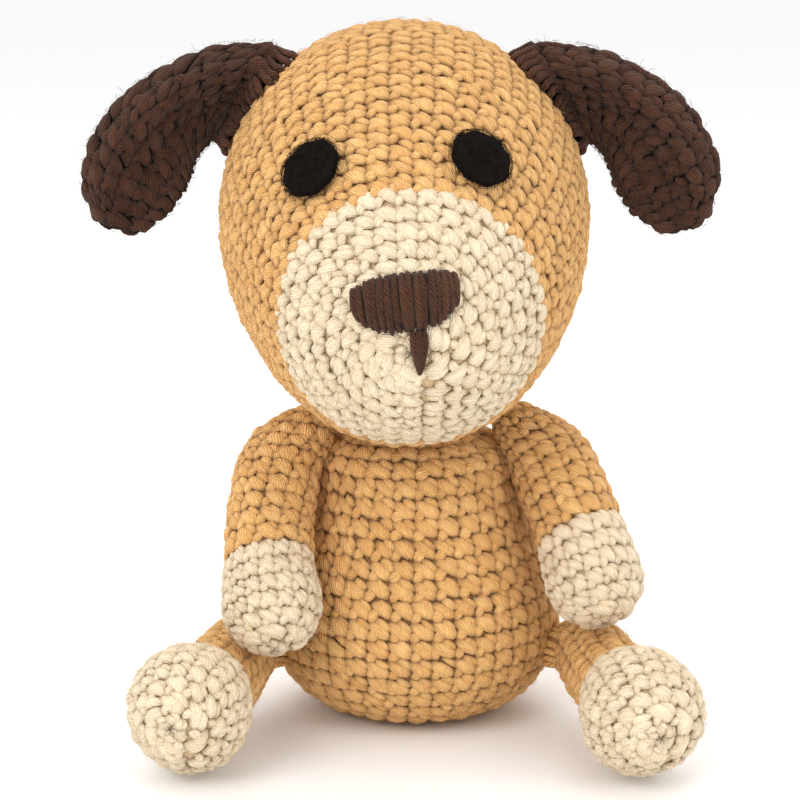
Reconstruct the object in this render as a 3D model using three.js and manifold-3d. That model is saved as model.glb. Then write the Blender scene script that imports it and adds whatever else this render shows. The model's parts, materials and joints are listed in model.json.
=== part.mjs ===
// A seated toy dog, crocheted in yarn: hollow crocheted shells, each filled with fibre,
// sewn to one another so that the head, ears, arms and legs can be turned and spring back.
// Millimetres, +Z up. The dog looks along -Y, and the origin is the middle of its flat seat.
import * as THREE from "three";
import { mergeVertices } from "three/addons/utils/BufferGeometryUtils.js";
import Module from "manifold-3d";

const wasm = await Module();
wasm.setup();

// ---- driving dimensions -------------------------------------------------------------------
const WALL = 3; // thickness of the crocheted fabric
const GAP = 0.3; // clearance between touching pieces
const FILLING_INSET = WALL + 0.5; // the filling lies just inside the fabric
const LIMB_FILLING_INSET = FILLING_INSET + 3 * GAP; // more, as limbs bend
const AROUND = 24; // corners of a large round section
const AROUND_LIMB = 16; // corners of an arm or leg section
const FILLING_STEPS = 14; // sections along the filling of an arm or leg

const SEAT_RADIUS = 14;
const NECK_HEIGHT = 70; // the head turns and nods about this point over the origin
const NECK_HOLE = 10; // radius of the body's filling opening
const BODY_TOP = 66;
const BODY_OUTLINE = [ // radius, height
  [SEAT_RADIUS, 0], [24.6, 2.8], [32.2, 11.5], [34.4, 22], [32.2, 33], [27, 44.5], [22.7, 55],
  [20.6, 61.5], [16.6, 65], [NECK_HOLE, BODY_TOP],
];

// The head is a tall ball with a smaller ball for the snout, blended where they meet.
// These centres are measured from the neck.
const SKULL = { centre: new THREE.Vector3(0, -3, 44.5), radii: new THREE.Vector3(42.5, 41, 44.8) };
const SNOUT = { centre: new THREE.Vector3(0, -33.9, 29.7), radii: new THREE.Vector3(29.2, 29.2, 29.2) };
const HEAD_BLEND = 22;
const HEAD_LEAN = THREE.MathUtils.degToRad(-3.2); // the head leans a little to its -X side
const SNOUT_DROP = 10; // degrees the snout's rounds point down
const CROWN_DROP = 32; // degrees the rounds have tilted by at the back
const COLOUR_CHANGE = 69.5; // degrees from the snout's pole to the end of the pale rounds

const NECK_SEAM = { inner: 8, outer: 15.5, top: -0.3, height: 2.4 };
const NOD_CLEARANCE = { radius: 19.5, slope: 0.145, depth: 15 };

const EYE = { radius: 6.6, thickness: 1.7, middle: -0.8, across: 15.6, height: 59.1 };
const NOSE = {
  halfWidth: 12.2, rise: 3.8, fall: 7.2, middle: -0.3, height: 36.9, thickness: 2.8, seat: 2 * GAP,
};
const NOSE_TILT = THREE.MathUtils.degToRad(6); // its +X end is the higher one
const MOUTH = { across: 1.9, top: 28.8, bottom: 20.8, halfWidth: 1.8, thickness: 1.5 };

const EAR_MIDDLE = -3.2; // the ears stand evenly about this X
const EAR_DEPTH = -3;
const EAR_THICKNESS = 5;
const EAR_FORWARD = 6; // how far the tip stands in front of the sewn end
const EAR_BOW = 2; // the sewn end is hollowed to follow the skull
// Across the leaf: upper edge (out from the middle, height), lower edge, and how deeply it is folded.
const EAR_STATIONS = [
  [28.2, 154.2, 42.0, 130.9, 0.8], [42.6, 152.8, 44.4, 128.2, 1], [55.0, 147.4, 45.8, 125.4, 1],
  [63.6, 140.7, 46.8, 122.0, 0.9], [68.8, 132.8, 48.8, 118.6, 0.75], [71.0, 124.6, 51.6, 115.2, 0.55],
  [69.2, 116.8, 55.8, 112.6, 0.35],
];
const EAR_RIDGE = { height: 4.6, place: 0.45, width: 0.42 }; // places from -1 below to 1 above
const EAR_HOLLOW = { height: -2.6, place: -0.45, width: 0.4 };
const EAR_SEAM = { from: 33, to: 58, radius: 0.8 }; // degrees from the top of the skull

const SEAM_CLEARANCE = 4 * GAP; // between a limb and the knot that holds it
const ARM = { top: 8.5, middle: 10.2, ball: 12, paw: 23, opening: 3.4, tall: 1 };
const LEG = { top: 8.2, middle: 9.3, ball: 14.6, paw: 26.5, opening: 3.4, tall: 1.06 };
const ARM_SPINES = {
  left: [[-25.6, -3.7, 69.2], [-29.9, -7.3, 61.5], [-32.6, -21.5, 45.5], [-31.5, -32, 33.4],
    [-31, -39.5, 24]],
  right: [[25.6, -3.4, 69.8], [29.7, -6.8, 62], [35.9, -18, 48.5], [39.4, -26, 37.4], [41.4, -32, 27.6]],
};
const LEG_SPINES = {
  left: [[-38.2, -7, 17], [-40.4, -15, 16.6], [-43, -30, 15], [-48, -50, 15.7], [-51, -63.8, 13.6]],
  right: [[38.2, -7, 17], [40.4, -15, 16.6], [43, -30, 15], [47.8, -52.5, 15.7], [51, -65.2, 10.2]],
};
const SHOULDER_SEAM = { radius: 4.4, reach: 4, height: 60 };
const HIP_SEAM = { radius: 5, reach: 4, height: 16.8 };

// ---- finishes -----------------------------------------------------------------------------
const finish = (name, color, roughness) =>
  new THREE.MeshStandardMaterial({ name, color, roughness, metalness: 0 });
const TAN = finish("tan_yarn", 0xe0b274, 0.9);
const CREAM = finish("cream_yarn", 0xeadfc8, 0.9);
const BROWN = finish("brown_yarn", 0x4b352a, 0.9);
const BLACK = finish("black_felt", 0x131211, 0.95);
const FILLING = finish("fibre_filling", 0xf4f2ee, 0.95);

// ---- closed bodies --------------------------------------------------------------------------
const vector = (x, y, z) => new THREE.Vector3(x, y, z);
const { degToRad, lerp, smoothstep } = THREE.MathUtils;

function signedVolume(positions, index) {
  const [a, b, c] = [vector(), vector(), vector()];
  let sum = 0;
  for (let i = 0; i < index.length; i += 3) {
    a.fromArray(positions, index[i] * 3);
    b.fromArray(positions, index[i + 1] * 3);
    c.fromArray(positions, index[i + 2] * 3);
    sum += a.dot(b.cross(c)) / 6;
  }
  return sum;
}

// Merges shared corners, drops the empty triangles at a pole and turns the faces outwards.
function closed(geometry) {
  const bare = geometry.clone();
  for (const name of Object.keys(bare.attributes)) {
    if (name !== "position") bare.deleteAttribute(name);
  }
  const merged = mergeVertices(bare, 1e-4);
  const positions = merged.attributes.position.array;
  const all = merged.index.array;
  const index = [];
  for (let i = 0; i < all.length; i += 3) {
    const [a, b, c] = [all[i], all[i + 1], all[i + 2]];
    if (a !== b && b !== c && a !== c) index.push(a, b, c);
  }
  if (signedVolume(positions, index) < 0) index.reverse();
  const result = new THREE.BufferGeometry();
  result.setAttribute("position", new THREE.BufferAttribute(Float32Array.from(positions), 3));
  result.setIndex(index);
  result.computeVertexNormals();
  return result;
}

// Skins a row of closed sections. A section of one point is a pole, and `loop` joins the last
// section to the first one.
function skin(sections, loop = false) {
  const positions = sections.flat().flatMap((point) => point.toArray());
  const starts = [];
  let total = 0;
  for (const section of sections) {
    starts.push(total);
    total += section.length;
  }
  const index = [];
  const bands = loop ? sections.length : sections.length - 1;
  for (let band = 0; band < bands; band += 1) {
    const next = (band + 1) % sections.length;
    const [sizeA, sizeB] = [sections[band].length, sections[next].length];
    const corner = (row, size, i) => starts[row] + (size === 1 ? 0 : i % size);
    for (let i = 0; i < Math.max(sizeA, sizeB); i += 1) {
      const [a, b] = [corner(band, sizeA, i), corner(band, sizeA, i + 1)];
      const [c, d] = [corner(next, sizeB, i), corner(next, sizeB, i + 1)];
      if (a !== b) index.push(a, b, c);
      if (c !== d) index.push(b, d, c);
    }
  }
  const geometry = new THREE.BufferGeometry();
  geometry.setAttribute("position", new THREE.Float32BufferAttribute(positions, 3));
  geometry.setIndex(index);
  return closed(geometry);
}

function lathe(profile, around = AROUND) {
  const points = profile.map(([radius, height]) => new THREE.Vector2(radius, height));
  return closed(new THREE.LatheGeometry(points, around).rotateX(Math.PI / 2));
}

function toManifold(geometry) {
  return new wasm.Manifold(new wasm.Mesh({
    numProp: 3,
    vertProperties: Float32Array.from(geometry.attributes.position.array),
    triVerts: Uint32Array.from(geometry.index.array),
  }));
}

function toGeometry(manifold) {
  const mesh = manifold.getMesh();
  const geometry = new THREE.BufferGeometry();
  geometry.setAttribute("position", new THREE.BufferAttribute(mesh.vertProperties, 3));
  geometry.setIndex([...mesh.triVerts]);
  return closed(geometry);
}

const largest = (manifold) =>
  manifold.decompose().sort((a, b) => b.volume() - a.volume())[0];

function mesh(name, geometry, material) {
  const piece = new THREE.Mesh(geometry, material);
  piece.name = name;
  return piece;
}

// ---- body: a pear turned on the Z axis, open at the neck where it was filled ---------------
const bodyCurve = new THREE.SplineCurve(
  BODY_OUTLINE.map(([radius, height]) => new THREE.Vector2(radius, height)),
);

// The outline moved inwards by `inset`, from the seat's edge up to the neck.
function bodyOutline(inset, steps = 14) {
  return Array.from({ length: steps + 1 }, (_, i) => {
    const point = bodyCurve.getPointAt(i / steps);
    const along = bodyCurve.getTangentAt(i / steps);
    return [point.x - along.y * inset, point.y + along.x * inset];
  });
}

function bodyShell() {
  const inner = bodyOutline(WALL).slice(0, -1).reverse();
  return lathe([
    [0, 0], ...bodyOutline(0), [NECK_HOLE, BODY_TOP - WALL], ...inner, [0, WALL],
  ], AROUND + 4);
}

function bodyFilling() {
  const side = bodyOutline(FILLING_INSET).slice(0, -1);
  const top = BODY_TOP - FILLING_INSET;
  return lathe([[0, FILLING_INSET], ...side, [NECK_HOLE - GAP, top], [0, top]], AROUND + 4);
}

// The body's outside grown by `growth`, as a cutter for what is sewn against it.
function bodyCutter(growth) {
  return toManifold(lathe([
    [0, -growth], ...bodyOutline(-growth), [0, BODY_TOP + growth],
  ], AROUND + 4));
}

// ---- head ---------------------------------------------------------------------------------
// How far a point is outside a ball, roughly in millimetres; negative inside.
function ballGauge(point, ball, inset) {
  const radii = ball.radii.clone().subScalar(inset);
  const scaled = point.clone().sub(ball.centre).divide(radii).length();
  return (scaled - 1) * Math.min(radii.x, radii.y, radii.z);
}

function headGauge(point, inset) {
  const skull = ballGauge(point, SKULL, inset);
  const snout = ballGauge(point, SNOUT, inset);
  const blend = Math.max(HEAD_BLEND - Math.abs(skull - snout), 0) / HEAD_BLEND;
  return Math.min(skull, snout) - blend * blend * HEAD_BLEND / 4;
}

// Where a ray from inside the head leaves it.
function headPoint(origin, direction, inset = 0) {
  let [near, far] = [0, 90];
  for (let i = 0; i < 40; i += 1) {
    const middle = (near + far) / 2;
    const outside = headGauge(origin.clone().addScaledVector(direction, middle), inset) > 0;
    if (outside) far = middle;
    else near = middle;
  }
  return origin.clone().addScaledVector(direction, near);
}

// One round of the head, `angle` degrees from the snout's pole. The rounds are centred on the
// snout at the front and on the skull at the back, and tilt further on the way.
function headRound(angle, inset) {
  const drop = degToRad(lerp(SNOUT_DROP, CROWN_DROP, smoothstep(angle, 75, 160)));
  const origin = SNOUT.centre.clone().lerp(SKULL.centre, smoothstep(angle, 75, 150));
  const axis = vector(0, -Math.cos(drop), -Math.sin(drop));
  const up = vector(0, -Math.sin(drop), Math.cos(drop));
  const polar = degToRad(angle);
  if (angle === 0 || angle === 180) {
    return [headPoint(origin, axis.multiplyScalar(Math.cos(polar)), inset)];
  }
  return Array.from({ length: AROUND }, (_, i) => {
    const turn = (i / AROUND) * 2 * Math.PI;
    const direction = axis.clone().multiplyScalar(Math.cos(polar))
      .addScaledVector(up, Math.sin(polar) * Math.cos(turn))
      .addScaledVector(vector(1, 0, 0), Math.sin(polar) * Math.sin(turn));
    return headPoint(origin, direction.normalize(), inset);
  });
}

const spread = (from, to, steps) =>
  Array.from({ length: steps + 1 }, (_, i) => lerp(from, to, i / steps));
const snoutAngles = (end) => [...spread(0, COLOUR_CHANGE, 5).slice(0, -1), end];
const skullAngles = (start) => [start, ...spread(COLOUR_CHANGE, 180, 10).slice(1)];

// A bowl between a pole and the colour change, with the fabric's thickness.
function headBowl(angles) {
  const outer = angles.map((angle) => headRound(angle, 0));
  const inner = angles.map((angle) => headRound(angle, WALL)).reverse();
  return skin([...outer, ...inner]);
}

// A shallow cone under the skull, so that the head nods on the neck without touching it.
function neckClearance() {
  const { radius, slope, depth } = NOD_CLEARANCE;
  return toManifold(lathe([[0, -depth], [radius, -depth], [radius, radius * slope], [0, 0]]));
}

function skullShell() {
  const bowl = headBowl(skullAngles(COLOUR_CHANGE + 0.4).reverse());
  return toGeometry(toManifold(bowl).subtract(neckClearance()));
}

function headFilling() {
  const angles = [...snoutAngles(COLOUR_CHANGE), ...skullAngles(COLOUR_CHANGE).slice(1)];
  return skin(angles.map((angle) => headRound(angle, FILLING_INSET)));
}

// ---- face ---------------------------------------------------------------------------------
// A flat disc of felt laid on the head, square to its surface and just clear of it all round.
function eyeDisc(side) {
  const { radius, thickness, middle, across, height } = EYE;
  const { centre, radii } = SKULL;
  const [x, z] = [(middle + side * across) / radii.x, (height - centre.z) / radii.z];
  const unit = vector(x, -Math.sqrt(1 - x * x - z * z), z);
  const seat = headPoint(centre, unit.clone().multiply(radii).normalize());
  const slope = (axis) => headGauge(seat.clone().addScaledVector(axis, GAP), 0)
    - headGauge(seat.clone().addScaledVector(axis, -GAP), 0);
  const outward = vector(slope(vector(1, 0, 0)), slope(vector(0, 1, 0)), slope(vector(0, 0, 1)))
    .normalize();
  const turn = new THREE.Quaternion().setFromUnitVectors(vector(0, 0, 1), outward);
  const rim = Array.from({ length: 12 }, (_, i) => vector(
    radius * Math.cos(i * Math.PI / 6), radius * Math.sin(i * Math.PI / 6), 0,
  ).applyQuaternion(turn).add(seat));
  const lift = GAP - Math.min(0, ...rim.map((point) => headGauge(point, 0)));
  const disc = lathe([[0, 0], [radius, 0], [radius, thickness * 0.6],
    [radius * 0.93, thickness * 0.92], [0, thickness]], 20);
  return disc.applyQuaternion(turn).translate(...seat.addScaledVector(outward, lift).toArray());
}

// A point `lift` above the snout: `across` and `height` are measured along its surface.
function snoutPoint(across, height, lift) {
  const radius = SNOUT.radii.x;
  const [turn, pitch] = [across / radius, (height - SNOUT.centre.z) / radius];
  return vector(Math.sin(turn) * Math.cos(pitch), -Math.cos(turn) * Math.cos(pitch), Math.sin(pitch))
    .multiplyScalar(radius + lift).add(SNOUT.centre);
}

// A half-moon of satin stitches, tilted about its middle, with a rounded face.
function nosePad() {
  const { halfWidth, rise, fall, middle, height, thickness, seat } = NOSE;
  const tilted = (across, up, lift) => snoutPoint(
    middle + across * Math.cos(NOSE_TILT) - up * Math.sin(NOSE_TILT),
    height + across * Math.sin(NOSE_TILT) + up * Math.cos(NOSE_TILT),
    lift,
  );
  const sections = spread(-1, 1, 10).map((u) => {
    const across = u * halfWidth;
    const bow = Math.sqrt(1 - Math.abs(u) ** 2.6);
    if (bow < 1e-6) return [tilted(across, 0, seat)];
    const [low, high] = [-fall * bow, rise * bow];
    const lift = GAP + (thickness - GAP) * Math.min(1, 0.35 + bow);
    return [[0, seat], [0.5, seat], [1, seat], [0.85, lift], [0.5, lift * 1.15], [0.15, lift]]
      .map(([part, over]) => tilted(across, lerp(low, high, part), over));
  });
  return skin(sections);
}

// The single long stitch under the nose, tapering to a point.
function mouthPad() {
  const { across, top, bottom, halfWidth, thickness } = MOUTH;
  const sections = spread(0, 1, 5).map((part) => {
    const half = halfWidth * (1 - 0.75 * part);
    const height = lerp(top, bottom, part);
    return [[-half, GAP], [half, GAP], [half, thickness * 0.7], [0, thickness],
      [-half, thickness * 0.7]].map(([x, lift]) => snoutPoint(across + x, height, lift));
  });
  const seat = 2 * GAP;
  return skin([[snoutPoint(across, top + GAP, seat)], ...sections,
    [snoutPoint(across, bottom - halfWidth / 2, seat)]]);
}

// ---- ears: a folded leaf of single fabric, sewn on along its straight end --------------------
// How far the leaf stands forward at `u`, from its lower edge at -1 to its upper edge at 1.
const earRelief = (u) => [EAR_RIDGE, EAR_HOLLOW].reduce(
  (sum, { height, place, width }) => sum + height * Math.exp(-(((u - place) / width) ** 2)), 0,
);

function ear(side) {
  const across = [-1, -0.85, -0.45, 0, 0.45, 0.85, 1];
  const half = (u) => (EAR_THICKNESS / 2) * Math.sqrt(1 - Math.abs(u) ** 5);
  const sections = EAR_STATIONS.map(([upperOut, upperZ, lowerOut, lowerZ, fold], i) => {
    const forward = EAR_DEPTH - EAR_FORWARD * (i / EAR_STATIONS.length);
    const bow = i === 0 ? EAR_BOW : 0;
    const at = (u, lift) => vector(
      EAR_MIDDLE + side * (lerp(lowerOut, upperOut, (u + 1) / 2) + bow * (1 - u * u)),
      forward - earRelief(u) * fold - lift,
      lerp(lowerZ, upperZ, (u + 1) / 2) + bow * (1 - u * u),
    );
    return [...across.map((u) => at(u, half(u))),
      ...across.slice(1, -1).reverse().map((u) => at(u, -half(u)))];
  });
  const middle = (section) => section.reduce((sum, point) => sum.add(point), vector(0, 0, 0))
    .divideScalar(section.length);
  const tip = middle(sections.at(-1)).add(vector(0, 0, -EAR_THICKNESS / 2));
  return skin([[middle(sections[0])], ...sections, [tip]]);
}

// The row of whip stitches between an ear and the skull.
function earSeam(side) {
  const { from, to, radius } = EAR_SEAM;
  const lift = radius + 2 * GAP;
  const points = spread(from, to, 4).map((degrees) => {
    const angle = degToRad(degrees);
    const direction = vector(side * Math.sin(angle), 0, Math.cos(angle));
    const { radii, centre } = SKULL;
    const reach = 1 / Math.hypot(direction.x / radii.x, direction.z / radii.z);
    return direction.multiplyScalar(reach + lift)
      .add(vector(EAR_MIDDLE, centre.y, centre.z + NECK_HEIGHT));
  });
  const outline = new THREE.Shape().absarc(0, 0, radius, 0, 2 * Math.PI);
  const row = new THREE.ExtrudeGeometry(outline, {
    extrudePath: new THREE.CatmullRomCurve3(points), steps: 8, curveSegments: 4, bevelEnabled: false,
  });
  return closed(row);
}

// ---- arms and legs ----------------------------------------------------------------------------
// The limit that a round end of `radius` sets, `distance` from its pole.
const roundEnd = (distance, radius) =>
  (distance >= radius ? Infinity : Math.sqrt(Math.max(radius ** 2 - (radius - distance) ** 2, 0)));

class Limb {
  constructor(spine, sizes) {
    this.sizes = sizes;
    this.path = new THREE.CatmullRomCurve3(spine.map((point) => vector(...point)));
    this.length = this.path.getLength();
    this.steps = 64;
    this.frames = this.path.computeFrenetFrames(this.steps);
  }

  radius(distance, inset) {
    const { top, middle, ball } = this.sizes;
    const fromTip = this.length - distance;
    const sleeve = lerp(top, middle, smoothstep(distance, 0, this.length / 2));
    const swell = lerp(middle, ball, smoothstep(-fromTip, -ball * 1.9, -ball * 0.95));
    return Math.min(
      roundEnd(distance - inset, top - inset),
      roundEnd(fromTip - inset, ball - inset),
      Math.max(sleeve, swell) - inset,
    );
  }

  section(distance, inset, radius = this.radius(distance, inset)) {
    const part = distance / this.length;
    const frame = Math.round(part * this.steps);
    const centre = this.path.getPointAt(part);
    if (radius < 0.05) return [centre];
    return Array.from({ length: AROUND_LIMB }, (_, i) => {
      const turn = (i / AROUND_LIMB) * 2 * Math.PI;
      const spoke = this.frames.normals[frame].clone().multiplyScalar(radius * Math.cos(turn))
        .addScaledVector(this.frames.binormals[frame], radius * Math.sin(turn));
      return spoke.multiply(vector(1, 1, this.sizes.tall)).add(centre);
    });
  }

  // The whole limb as one closed body.
  whole(inset, steps) {
    const [from, to] = [inset, this.length - inset];
    const places = spread(0, 1, steps).map((part) => lerp(from, to, (1 - Math.cos(part * Math.PI)) / 2));
    return skin(places.map((distance) => this.section(distance, inset)));
  }

  // The coloured tube from its sewn, open end to the colour change.
  sleeve() {
    const { opening, paw, top } = this.sizes;
    const rim = (radius) => radius - Math.sqrt(radius ** 2 - opening ** 2);
    const end = this.length - paw - GAP / 2;
    const curve = (from) => [0, 0.06, 0.18, 0.36, 0.56, 0.78, 1].map((part) => lerp(from, end, part));
    const outer = curve(rim(top)).map((distance) => this.section(distance, 0));
    const inner = curve(WALL + rim(top - WALL)).map((distance) => this.section(distance, WALL));
    return skin([...outer, ...inner.reverse()], true);
  }

  // The pale bowl from the colour change to the tip.
  paw() {
    const start = this.length - this.sizes.paw + GAP / 2;
    const curve = (inset) => [0, 0.35, 0.65, 0.86, 0.96, 1]
      .map((part) => lerp(start, this.length - inset, part))
      .map((distance) => this.section(distance, inset));
    return skin([...curve(0).reverse(), ...curve(WALL)]);
  }
}

const arms = { left: new Limb(ARM_SPINES.left, ARM), right: new Limb(ARM_SPINES.right, ARM) };
const legs = { left: new Limb(LEG_SPINES.left, LEG), right: new Limb(LEG_SPINES.right, LEG) };

// The knot of stitches that fills the space between the body and a limb.
function limbSeam(limb, { radius, reach, height }) {
  const nearest = limb.path.getPointAt(limb.sizes.top / limb.length);
  const outward = vector(nearest.x, nearest.y, 0).normalize();
  const bodyRadius = nearest.clone().setZ(0).length() - limb.sizes.top;
  const knot = new THREE.CylinderGeometry(radius, radius, 2 * reach, 14)
    .applyQuaternion(new THREE.Quaternion().setFromUnitVectors(vector(0, 1, 0), outward))
    .translate(outward.x * bodyRadius, outward.y * bodyRadius, height);
  const limbCutter = toManifold(new Limb(limb.path.points.map((point) => point.toArray()), {
    ...limb.sizes,
    top: limb.sizes.top + SEAM_CLEARANCE,
    middle: limb.sizes.middle + SEAM_CLEARANCE,
  }).whole(0, 2 * FILLING_STEPS));
  const space = toManifold(closed(knot)).subtract(bodyCutter(2 * GAP)).subtract(limbCutter);
  return toGeometry(largest(space));
}

// ---- assembly -----------------------------------------------------------------------------
const dog = new THREE.Group();

dog.add(mesh("body_shell", bodyShell(), TAN));
dog.add(mesh("body_filling", bodyFilling(), FILLING));

const head = new THREE.Group();
head.position.set(0, 0, NECK_HEIGHT);
head.rotation.y = HEAD_LEAN;
const { inner: seamInner, outer: seamOuter, top: seamTop, height: seamHeight } = NECK_SEAM;
const seamMiddle = seamTop - seamHeight / 2;
head.add(mesh("neck_seam", lathe([
  [seamInner, seamTop], [seamOuter - 1.2, seamTop], [seamOuter, seamMiddle],
  [seamOuter - 1.2, seamTop - seamHeight], [seamInner, seamTop - seamHeight], [seamInner, seamTop],
]), TAN));
head.add(mesh("head_shell", skullShell(), TAN));
head.add(mesh("muzzle_shell", headBowl(snoutAngles(COLOUR_CHANGE - 0.4)), CREAM));
head.add(mesh("head_filling", headFilling(), FILLING));
head.add(mesh("nose_stitches", nosePad(), BROWN));
head.add(mesh("mouth_stitch", mouthPad(), BROWN));
dog.add(head);

for (const [name, side] of [["left", -1], ["right", 1]]) {
  head.add(mesh(`eye_felt_${name}`, eyeDisc(side), BLACK));
  dog.add(mesh(`ear_${name}`, ear(side), BROWN));
  dog.add(mesh(`ear_seam_${name}`, earSeam(side), BROWN));
  dog.add(mesh(`arm_sleeve_${name}`, arms[name].sleeve(), TAN));
  dog.add(mesh(`arm_paw_${name}`, arms[name].paw(), CREAM));
  dog.add(mesh(`arm_filling_${name}`, arms[name].whole(LIMB_FILLING_INSET, FILLING_STEPS), FILLING));
  dog.add(mesh(`shoulder_seam_${name}`, limbSeam(arms[name], SHOULDER_SEAM), TAN));
  dog.add(mesh(`leg_sleeve_${name}`, legs[name].sleeve(), TAN));
  dog.add(mesh(`leg_foot_${name}`, legs[name].paw(), CREAM));
  dog.add(mesh(`leg_filling_${name}`, legs[name].whole(LIMB_FILLING_INSET, FILLING_STEPS), FILLING));
  dog.add(mesh(`hip_seam_${name}`, limbSeam(legs[name], HIP_SEAM), TAN));
}

export default dog;
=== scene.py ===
# %% [markdown]
# # A crocheted toy dog
# This lesson dresses a plain, jointed model of a seated dog in yarn. A crocheted toy is a few hollow
# shells, each worked in rounds from one end, then filled with fibre and sewn together. Every stitch
# is short loops of yarn that lie over each other, so the stitches are laid here one by one.

# %% Load the frame
import json
import math

import bpy
import numpy as np
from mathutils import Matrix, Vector
from mathutils.bvhtree import BVHTree


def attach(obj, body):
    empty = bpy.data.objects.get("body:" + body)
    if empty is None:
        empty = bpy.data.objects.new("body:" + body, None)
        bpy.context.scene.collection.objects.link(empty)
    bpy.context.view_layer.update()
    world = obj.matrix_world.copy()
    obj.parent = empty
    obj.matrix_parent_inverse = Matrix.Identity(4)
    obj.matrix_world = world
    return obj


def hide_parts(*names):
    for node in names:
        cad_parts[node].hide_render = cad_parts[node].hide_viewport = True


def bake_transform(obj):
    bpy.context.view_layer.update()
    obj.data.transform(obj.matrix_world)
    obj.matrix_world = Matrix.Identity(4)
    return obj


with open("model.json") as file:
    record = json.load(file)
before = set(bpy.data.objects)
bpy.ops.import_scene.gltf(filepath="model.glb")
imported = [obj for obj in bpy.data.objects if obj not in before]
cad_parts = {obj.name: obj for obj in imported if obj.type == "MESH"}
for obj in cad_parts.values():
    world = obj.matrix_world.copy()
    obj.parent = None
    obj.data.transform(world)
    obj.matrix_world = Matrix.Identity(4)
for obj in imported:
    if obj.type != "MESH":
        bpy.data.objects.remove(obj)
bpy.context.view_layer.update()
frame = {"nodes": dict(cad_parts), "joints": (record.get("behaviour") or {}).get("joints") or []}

MM = 0.001  # the lengths below are in millimetres, and meshes are in metres
draw = np.random.default_rng(20)

# %% [markdown]
# ## The camera, the floor and the lights
# A toy is shown from a little above, with a long lens, so that its head and feet keep their true
# sizes. The light comes from large soft panels, as in a small product studio: a window of light on
# each side, a broad one overhead, and a pale room all round that fills the shadows.

# %% Camera
CAMERA_ABOVE = math.radians(12)
CAMERA_DISTANCE = 0.55
LOOKED_AT = Vector((-0.0034, 0, 0.072))
VIEW_WIDTH = 0.1831  # how much fits across the picture at the dog

camera_data = bpy.data.cameras.new("camera")
camera_data.lens = camera_data.sensor_width * CAMERA_DISTANCE / VIEW_WIDTH
camera = bpy.data.objects.new("camera", camera_data)
back = Vector((0, -math.cos(CAMERA_ABOVE), math.sin(CAMERA_ABOVE)))
camera.location = LOOKED_AT + back * CAMERA_DISTANCE
camera.rotation_euler = (-back).to_track_quat("-Z", "Y").to_euler()
bpy.context.scene.collection.objects.link(camera)
bpy.context.scene.camera = camera
print("lens in mm:", round(camera_data.lens, 1))


# %% [markdown]
# ## Writing shader maths as Python
# A material is a graph of small nodes. Building one by hand takes a line for each node and each
# link, which hides the idea. The class below wraps one output of a node, so that adding two of them
# adds the Math node that does it, and any other node comes from one method.

# %% A wrapped socket
class Signal:
    """One output of a node. Sums and products of signals are Math nodes."""

    def __init__(self, tree, socket=None):
        self.tree = tree
        self.socket = socket

    def make(self, kind, settings=None, inputs=None, output=0):
        """Adds a node: its settings first, then what its sockets hold or are linked to."""
        node = self.tree.nodes.new(kind)
        for name, value in (settings or {}).items():
            setattr(node, name, value)
        for name, value in (inputs or {}).items():
            if isinstance(value, Signal):
                self.tree.links.new(value.socket, node.inputs[name])
            else:
                node.inputs[name].default_value = value
        return Signal(self.tree, node.outputs[output] if node.outputs else None)

    def maths(self, operation, first, second):
        return self.make("ShaderNodeMath", {"operation": operation}, {0: first, 1: second})

    def __add__(self, other):
        return self.maths("ADD", self, other)

    __radd__ = __add__

    def __sub__(self, other):
        return self.maths("SUBTRACT", self, other)

    def __rsub__(self, other):
        return self.maths("SUBTRACT", other, self)

    def __mul__(self, other):
        return self.maths("MULTIPLY", self, other)

    __rmul__ = __mul__

    def attribute(self, name, output="Fac"):
        """A value that the mesh holds at each point."""
        return self.make("ShaderNodeAttribute", {"attribute_name": name}, output=output)

    def noise(self, vector, scale, detail=2.0, roughness=0.5):
        """Soft random values from 0 to 1."""
        inputs = {"Vector": vector, "Scale": scale, "Detail": detail, "Roughness": roughness}
        return self.make("ShaderNodeTexNoise", inputs=inputs)

    def mixed(self, factor, first, second):
        """A colour between two colours."""
        inputs = {0: factor, 6: first, 7: second}
        return self.make("ShaderNodeMix", {"data_type": "RGBA"}, inputs, output=2)

    def bump(self, strength, distance, height):
        """A surface raised by a height signal, by up to a distance in millimetres."""
        inputs = {"Strength": strength, "Distance": distance * MM, "Height": height}
        return self.make("ShaderNodeBump", inputs=inputs)

    def surface(self, inputs):
        """Ends a material's graph with a principled shader."""
        shader = self.make("ShaderNodeBsdfPrincipled", inputs=inputs)
        self.make("ShaderNodeOutputMaterial", inputs={"Surface": shader})

    def stretched(self, vector, turn, scale):
        """A vector turned about its third axis, then scaled along each axis."""
        inputs = {"Vector": vector, "Angle": turn}
        rotated = self.make("ShaderNodeVectorRotate", {"rotation_type": "Z_AXIS"}, inputs)
        return self.make("ShaderNodeVectorMath", {"operation": "MULTIPLY"}, {0: rotated, 1: scale})


# %% Materials and colours
def new_material(name):
    """An empty node material, and a signal to start its graph from."""
    material = bpy.data.materials.new(name)
    material.use_nodes = True
    material.node_tree.nodes.clear()
    return material, Signal(material.node_tree)


def colour(red, green, blue):
    """A paint chip's red, green and blue from 0 to 255, as the light it reflects."""
    parts = [((c / 255 + 0.055) / 1.055) ** 2.4 if c > 10 else c / 3295 for c in (red, green, blue)]
    return (*parts, 1.0)


# %% Floor and lights
def pale_floor():
    """Matt paper, faintly mottled, for the dog to sit on."""
    material, start = new_material("pale_paper")
    place = start.make("ShaderNodeTexCoord", output="Object")
    mottle = start.noise(place, 40.0)
    paint = start.mixed(mottle, colour(246, 246, 246), colour(250, 250, 250))
    start.surface({
        "Base Color": paint, "Roughness": 0.85 + 0.1 * mottle, "Normal": start.bump(0.2, 0.2, mottle),
        "Specular IOR Level": 0.1,
    })
    return material


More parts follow.
